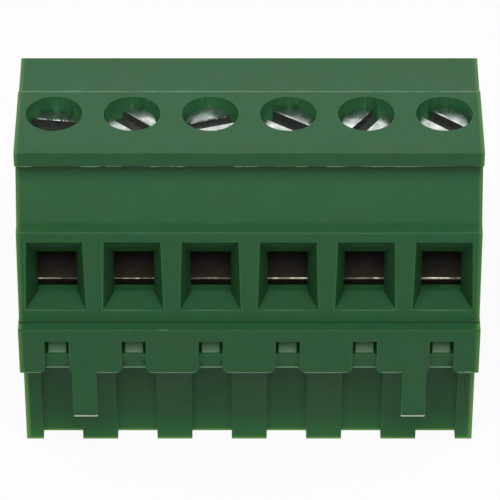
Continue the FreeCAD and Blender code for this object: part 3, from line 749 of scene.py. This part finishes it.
feet = bmesh.new()
for gap in range(POLES + 1):
    middle = (gap - POLES / 2) * PITCH_MM
    left = max(middle - (PITCH_MM - GROOVE_MM) / 2, -HALF_ROW_MM)
    right = min(middle + (PITCH_MM - GROOVE_MM) / 2, HALF_ROW_MM)
    if left < -PRONG_AT_MM < right:
        left = -PRONG_AT_MM + PRONG_MM / 2
    if left < PRONG_AT_MM < right:
        right = PRONG_AT_MM - PRONG_MM / 2
    for wall in (-1, 1):
        foot_y, foot_z = wall * (-FRONT_MM - FOOT_MM / 2), SKIRT_FOOT_MM + FOOT_MM / 2
        add_bar(feet, (left, foot_y, foot_z), (right, foot_y, foot_z), FOOT_MM, seed=gap + 20.0,
                ragged=HARDLY_RAGGED)
for pole, x in enumerate(POLE_CENTRES_MM):
    for wall in (-1, 1):
        foot_y = wall * (-FRONT_MM - GROOVE_DEEP_MM - BAR_FOOT_MM / 2) + PROUD_MM * wall
        foot_z = SKIRT_FOOT_MM + BAR_FOOT_MM / 2 - PROUD_MM
        add_bar(feet, (x - BAR_HALF_MM, foot_y, foot_z), (x + BAR_HALF_MM, foot_y, foot_z), BAR_FOOT_MM,
                seed=pole + 30.0, ragged=HARDLY_RAGGED)
skirt_feet = finished_bars(feet, "skirt_foot_edge", flash_and_foot_highlight)
print("skirt feet:", len(skirt_feet.data.polygons), "faces")

# %% Ends of the prongs
END_MM, END_INSET_MM = 0.17, 0.03

ends = bmesh.new()
for side in (-1, 1):
    middle = side * PRONG_AT_MM
    half = PRONG_MM / 2
    end_y, end_z = FRONT_MM + END_MM / 2, PRONG_FOOT_MM + END_MM / 2
    add_bar(ends, (middle - half + END_INSET_MM, end_y, end_z), (middle + half - END_INSET_MM, end_y, end_z),
            END_MM, seed=8.0 + side, ragged=0.0)
prong_ends = finished_bars(ends, "prong_end_edge", prong_highlight)
print("prong ends:", len(prong_ends.data.polygons), "faces")

# %% [markdown]
# ## Marks of the tool and of the screwdriver
# Two fine ribs stand on the back wall of most wells, where the core pin that made it was scored, and one well
# has a single rib. The rims of some wells are scuffed on the left, and the edge of the ledge has two pale nicks.
# On three screws a slipping screwdriver has torn the far edge of the slot into bright crumbs, which turn with
# the screw. Each mark is a short bar like those of the flash.

# %% Ribs in the wells
WELL_MM = 3.68
WELL_Y_MM = FRONT_MM + 7.10
RIB_MM, RIB_TOP_MM, RIB_FOOT_MM = 0.24, 0.08, 0.60
RIB_OFF_AXIS_MM, RIB_SUNK_MM = 0.54, 0.02
SCORED_WELLS = {1: (-1, 1), 2: (1.9,), 3: (-1, 1), 4: (-1, 1), 6: (-1, 1)}

ribs = bmesh.new()
for pole, sides in SCORED_WELLS.items():
    for side in sides:
        off = side * RIB_OFF_AXIS_MM
        back = WELL_Y_MM + math.sqrt((WELL_MM / 2) ** 2 - off ** 2) + RIB_SUNK_MM
        x = POLE_CENTRES_MM[pole - 1] + off
        add_bar(ribs, (x, back, TOP_MM - RIB_TOP_MM), (x, back, TOP_MM - RIB_FOOT_MM), RIB_MM,
                seed=3.0 * pole + side)
# the ribs take the paler green of the rounds, a painted highlight
finished_bars(ribs, "well_ribs", worn_edge_highlight)
print("ribs in", len(SCORED_WELLS), "wells")

# %% Scuffs on the rims and nicks in the ledge
SCUFFED_WELLS = (3, 4, 6)
SCUFF_MM, SCUFF_SUNK_MM = 0.10, 0.055
SCUFF_FROM_MM, SCUFF_TO_MM = (-0.25, 0.10, 0), (0.03, 0.60, 0)
NICK_MM, NICK_SUNK_MM, NICK_BACK_MM = 0.09, 0.04, 0.05
NICKS_MM = ((-7.90, -7.78), (-6.00, -5.25))

marks = bmesh.new()
scuff_z = TOP_MM - SCUFF_SUNK_MM
for pole in SCUFFED_WELLS:
    left_rim = Vector((POLE_CENTRES_MM[pole - 1] - WELL_MM / 2, WELL_Y_MM, scuff_z))
    add_bar(marks, left_rim + Vector(SCUFF_FROM_MM), left_rim + Vector(SCUFF_TO_MM), SCUFF_MM, seed=2.0 * pole,
            wander_mm=0.02)
nick_y, nick_z = FRONT_MM + NICK_BACK_MM, LEDGE_MM - NICK_SUNK_MM
for start, end in NICKS_MM:
    add_bar(marks, (start, nick_y, nick_z), (end, nick_y, nick_z), NICK_MM, seed=9.1, wander_mm=0.01)
finished_bars(marks, "scuffs_and_nicks", torn_edge)
print("scuffs on", len(SCUFFED_WELLS), "wells, and", len(NICKS_MM), "nicks")

# %% Torn edges of three slots
HEAD_TOP_MM = TOP_MM - 0.85
TORN_SLOTS = {1: 0.13, 3: 0.12, 5: 0.08}
TEAR_HALF_MM, TEAR_BITE = 1.2, 2.5

for pole, thick in TORN_SLOTS.items():
    slot = SLOTS[pole - 1]
    turn = Matrix.Rotation(math.radians(slot["turn"]), 3, "Z")
    far = slot["offset"] + slot["width"] / 2
    sunk = math.tan(math.radians(max(0, slot["dish"][0]))) * (HEAD_MM / 2 - far)
    middle = Vector((POLE_CENTRES_MM[pole - 1], WELL_Y_MM, HEAD_TOP_MM + slot["taller"] - sunk - thick / 3))
    burr = bmesh.new()
    left, right = (middle + turn @ Vector((x, far, 0)) for x in (-TEAR_HALF_MM, TEAR_HALF_MM))
    add_bar(burr, left, right, thick, seed=5.3 * pole, wander_mm=0.02, bite=TEAR_BITE)
    finished_bars(burr, f"slot_{pole}_burr", zinc_plate, f"screw_{pole}")
print("torn slots:", len(TORN_SLOTS))

# %% [markdown]
# ## Floor and room
# The block stands on white. The table and the room show as white to the camera and in the metal, but light
# the block only gently, because a white that bright all round would wash its colour out. A share of the
# table is plain matt white, so that the block's shadow stays on it. The table lies a hair below the block's
# foot, so that the two don't share a plane.

# %% Floor
TABLE_GLOW_SHARE = 0.92
TABLE_ROUGHNESS = 0.9
TABLE_SEEN, TABLE_ROUND_BLOCK = "F4F4F4", "B4B4B4"
FLOOR_SIZE_M = 3.0
FLOOR_DROP_MM = 0.02


def seen_directly(tree):
    """1 where the camera, a mirror or glass looks at this, and 0 where it lights something else."""
    ray = add(tree, "ShaderNodeLightPath")
    camera_or_mirror = add(tree, "ShaderNodeMath", {"operation": "MAXIMUM"},
                           {0: ray.outputs["Is Camera Ray"], 1: ray.outputs["Is Glossy Ray"]})
    any_seen = add(tree, "ShaderNodeMath", {"operation": "MAXIMUM"},
                   {0: camera_or_mirror.outputs["Value"], 1: ray.outputs["Is Transmission Ray"]})
    return any_seen.outputs["Value"]


def white_table():
    """Matt white that shows as white to the camera and in mirrors, but keeps part of the shadow."""
    material, tree, shader, _ = new_material("white_table", {"Roughness": TABLE_ROUGHNESS})
    scattered = add(tree, "ShaderNodeLightPath").outputs["Is Diffuse Ray"]
    paper = add(tree, "ShaderNodeMix",
                {"data_type": "RGBA", "A": linear(TABLE_SEEN), "B": linear(TABLE_ROUND_BLOCK)},
                {"Factor": scattered})
    tree.links.new(paper.outputs["Result"], shader.inputs["Base Color"])
    share = add(tree, "ShaderNodeMath", {"operation": "MULTIPLY", 1: TABLE_GLOW_SHARE}, {0: seen_directly(tree)})
    glow = add(tree, "ShaderNodeEmission", {"Color": (1, 1, 1, 1), "Strength": 1.0})
    mixed = add(tree, "ShaderNodeMixShader", links={0: share.outputs["Value"], 1: shader.outputs["BSDF"],
                                                    2: glow.outputs["Emission"]})
    output = next(node for node in tree.nodes if node.bl_idname == "ShaderNodeOutputMaterial")
    tree.links.new(mixed.outputs["Shader"], output.inputs["Surface"])
    return material


shape = bmesh.new()
bmesh.ops.create_grid(shape, x_segments=1, y_segments=1, size=FLOOR_SIZE_M / 2)
floor_mesh = bpy.data.meshes.new("table")
shape.to_mesh(floor_mesh)
shape.free()
floor_mesh.materials.append(white_table())
floor_mesh.transform(Matrix.Translation((0, 0, -FLOOR_DROP_MM * MM)))
floor = bpy.data.objects.new("table", floor_mesh)
bpy.context.scene.collection.objects.link(floor)
print("table:", FLOOR_SIZE_M, "m wide")

# %% World
ROOM_LIGHT = 0.06

world = bpy.data.worlds.new("studio")
world.use_nodes = True
tree = world.node_tree
background = tree.nodes["Background"]
background.inputs["Color"].default_value = (1, 1, 1, 1)
strength = add(tree, "ShaderNodeMapRange", {"To Min": ROOM_LIGHT, "To Max": 1.0}, {"Value": seen_directly(tree)})
tree.links.new(strength.outputs["Result"], background.inputs["Strength"])
bpy.context.scene.world = world
print("the room lights the block at", ROOM_LIGHT, "of white")

# %% [markdown]
# ## Lamps
# One large soft box in front and above gives most of the light, so that the strip and the screw face are the
# brightest, the front walls are half as bright, and the ledges throw soft shadows down. Three weak boxes, one
# behind and one at each end, keep the other sides readable. Each aims at the middle of the block.

# %% Lamps
LAMPS = {
    # where it stands (m), how high on the block it aims (m), its width (m) and its power (W)
    "top_box": ((0, -0.28, 0.41), 0.01, 0.30, 2.1),
    "back_box": ((0, 0.35, 0.29), 0.01, 0.30, 0.20),
    "left_box": ((-0.35, 0.20, 0.12), 0.012, 0.25, 0.35),
    "right_box": ((0.35, 0.20, 0.12), 0.012, 0.25, 0.35),
}

for name, (place, aim_height, width, power) in LAMPS.items():
    lamp_data = bpy.data.lights.new(name, "AREA")
    lamp_data.shape = "SQUARE"
    lamp_data.size = width
    lamp_data.energy = power
    lamp = bpy.data.objects.new(name, lamp_data)
    lamp.location = place
    lamp.rotation_euler = (Vector((0, 0, aim_height)) - Vector(place)).to_track_quat("-Z", "Y").to_euler()
    bpy.context.scene.collection.objects.link(lamp)
print("lamps:", len(LAMPS))
